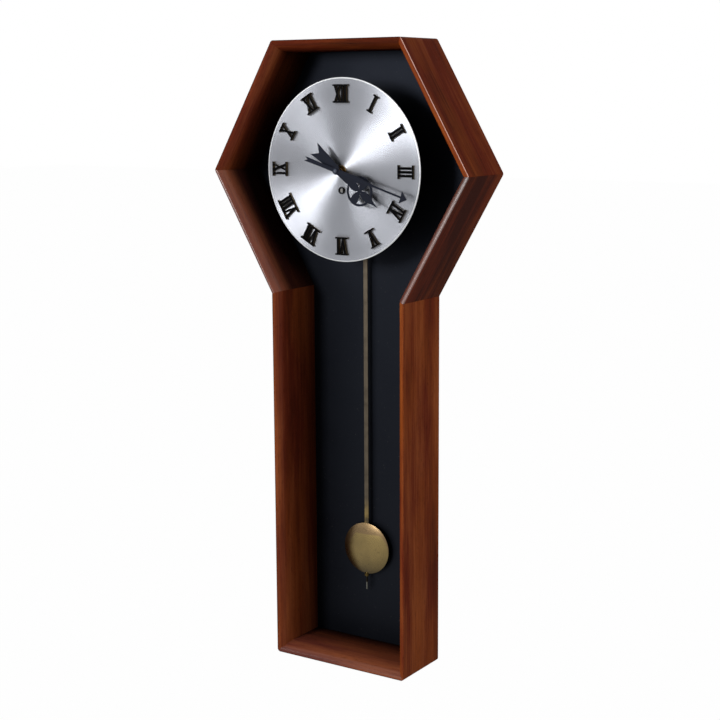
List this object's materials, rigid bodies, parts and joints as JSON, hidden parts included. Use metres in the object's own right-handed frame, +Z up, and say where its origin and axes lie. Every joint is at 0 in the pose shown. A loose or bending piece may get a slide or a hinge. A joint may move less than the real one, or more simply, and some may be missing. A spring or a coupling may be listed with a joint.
{
  "type": "pendulum wall clock",
  "caption": "Walnut wall clock with a hexagonal head, straight open column, metal dial with raised Roman numerals, pierced hands and a spring-driven movement that swings a lens-bob pendulum.",
  "frame": {"origin": "the point on the wall where the hanging nail enters, on the centre line, 40 mm below the top of the case", "axes": "+X to the right as seen from the front, +Y back into the wall, +Z up"},
  "size_m": [0.3608, 0.083, 0.768],
  "materials": {
    "walnut": "satin lacquer over straight walnut grain",
    "panel": "satin blue-black paint on thin board",
    "dial": "circular brushed with a bright bevelled rim",
    "black": "satin black on sheet metal",
    "brass": "brushed brass",
    "aged_brass": "aged brass with dark patches",
    "steel": "plain brushed steel",
    "spring_steel": "blued spring steel"
  },
  "bodies": {
    "case": {"top_board": "walnut", "upper_right_board": "walnut", "lower_right_board": "walnut", "right_side_board": "walnut", "bottom_board": "walnut", "left_side_board": "walnut", "lower_left_board": "walnut", "upper_left_board": "walnut", "back_panel": "panel", "hanger_plate": "steel", "front_plate": "brass", "back_plate": "brass", "plate_pillar_1": "brass", "plate_pillar_2": "brass", "plate_pillar_3": "brass", "plate_pillar_4": "brass", "mounting_post_1": "steel", "mounting_post_2": "steel", "mounting_post_3": "steel", "mounting_post_4": "steel", "dial_foot_1": "brass", "dial_foot_2": "brass", "dial_foot_3": "brass", "dial_plate": "dial", "winding_eyelet": "black", "numeral_I": "black", "numeral_II": "black", "numeral_III": "black", "numeral_IV": "black", "numeral_V": "black", "numeral_VI": "black", "numeral_VII": "black", "numeral_VIII": "black", "numeral_IX": "black", "numeral_X": "black", "numeral_XI": "black", "numeral_XII": "black", "suspension_cock": "brass", "suspension_top": "brass"},
    "minute": {"minute_hand": "black", "hand_nut": "steel", "cannon_pinion": "brass"},
    "hour": {"hour_hand": "black", "hour_wheel": "brass"},
    "minute_work": {"minute_wheel": "brass"},
    "centre": {"centre_wheel": "brass"},
    "third": {"third_wheel": "brass"},
    "escape": {"escape_wheel": "brass"},
    "intermediate": {"intermediate_wheel": "brass"},
    "barrel": {"mainspring_barrel": "brass", "barrel_cap": "brass", "mainspring": "spring_steel"},
    "winding": {"winding_arbor": "steel"},
    "click": {"click": "steel"},
    "anchor": {"anchor": "steel", "crutch": "brass"},
    "pendulum": {"suspension_spring": "brass", "pendulum_rod": "aged_brass"},
    "bob": {"bob": "aged_brass"},
    "rating_nut": {"rating_nut": "aged_brass"}
  },
  "joints": [
    {"name": "minute_spin", "type": "hinge", "parent": "case", "child": "minute", "pos_m": [0, 0, -0.113], "axis": [0, 1, 0], "continuous": true},
    {"name": "hour_spin", "type": "hinge", "parent": "case", "child": "hour", "pos_m": [0, 0, -0.113], "axis": [0, 1, 0], "continuous": true},
    {"name": "minute_wheel_spin", "type": "hinge", "parent": "case", "child": "minute_work", "pos_m": [-0.01128, 0, -0.1089], "axis": [0, 1, 0], "continuous": true},
    {"name": "centre_spin", "type": "hinge", "parent": "case", "child": "centre", "pos_m": [0, 0, -0.113], "axis": [0, 1, 0], "continuous": true},
    {"name": "third_spin", "type": "hinge", "parent": "case", "child": "third", "pos_m": [-0.01446, 0, -0.10037], "axis": [0, 1, 0], "continuous": true},
    {"name": "escape_spin", "type": "hinge", "parent": "case", "child": "escape", "pos_m": [0, 0, -0.09307], "axis": [0, 1, 0], "continuous": true},
    {"name": "intermediate_spin", "type": "hinge", "parent": "case", "child": "intermediate", "pos_m": [0.01738, 0, -0.12387], "axis": [0, 1, 0], "continuous": true},
    {"name": "barrel_spin", "type": "hinge", "parent": "case", "child": "barrel", "pos_m": [0, 0, -0.1367], "axis": [0, 1, 0], "continuous": true},
    {"name": "winding_spin", "type": "hinge", "parent": "case", "child": "winding", "pos_m": [0, 0, -0.1367], "axis": [0, 1, 0], "continuous": true},
    {"name": "click_rock", "type": "hinge", "parent": "case", "child": "click", "pos_m": [-0.00953, 0, -0.1312], "axis": [0, 1, 0], "range_deg": [-12, 0], "stiffness_Nm_per_rad": 0.02, "springref_deg": 5.73},
    {"name": "pendulum_swing", "type": "hinge", "parent": "case", "child": "pendulum", "pos_m": [0, 0, -0.079], "axis": [0, 1, 0], "range_deg": [-4, 4]},
    {"name": "anchor_rock", "type": "hinge", "parent": "case", "child": "anchor", "pos_m": [0, 0, -0.079], "axis": [0, 1, 0], "range_deg": [-4, 4]},
    {"name": "bob_slide", "type": "slide", "parent": "pendulum", "child": "bob", "axis": [0, 0, 1], "range_m": [-0.002, 0.002]},
    {"name": "rating_nut_spin", "type": "hinge", "parent": "bob", "child": "rating_nut", "pos_m": [0, -0.0175, -0.6268], "axis": [0, 0, 1], "range_deg": [-1441, 1441]}
  ],
  "couplings": [
    {"joint": "hour_spin", "follows": "minute_spin", "ratio": 0.083333},
    {"joint": "minute_wheel_spin", "follows": "minute_spin", "ratio": -0.33333},
    {"joint": "centre_spin", "follows": "minute_spin", "ratio": 1},
    {"joint": "third_spin", "follows": "minute_spin", "ratio": -9},
    {"joint": "escape_spin", "follows": "minute_spin", "ratio": 72},
    {"joint": "intermediate_spin", "follows": "minute_spin", "ratio": -0.13889},
    {"joint": "barrel_spin", "follows": "minute_spin", "ratio": 0.021368},
    {"joint": "anchor_rock", "follows": "pendulum_swing", "ratio": 1},
    {"joint": "rating_nut_spin", "follows": "bob_slide", "rad_per_m": 12566}
  ]
}
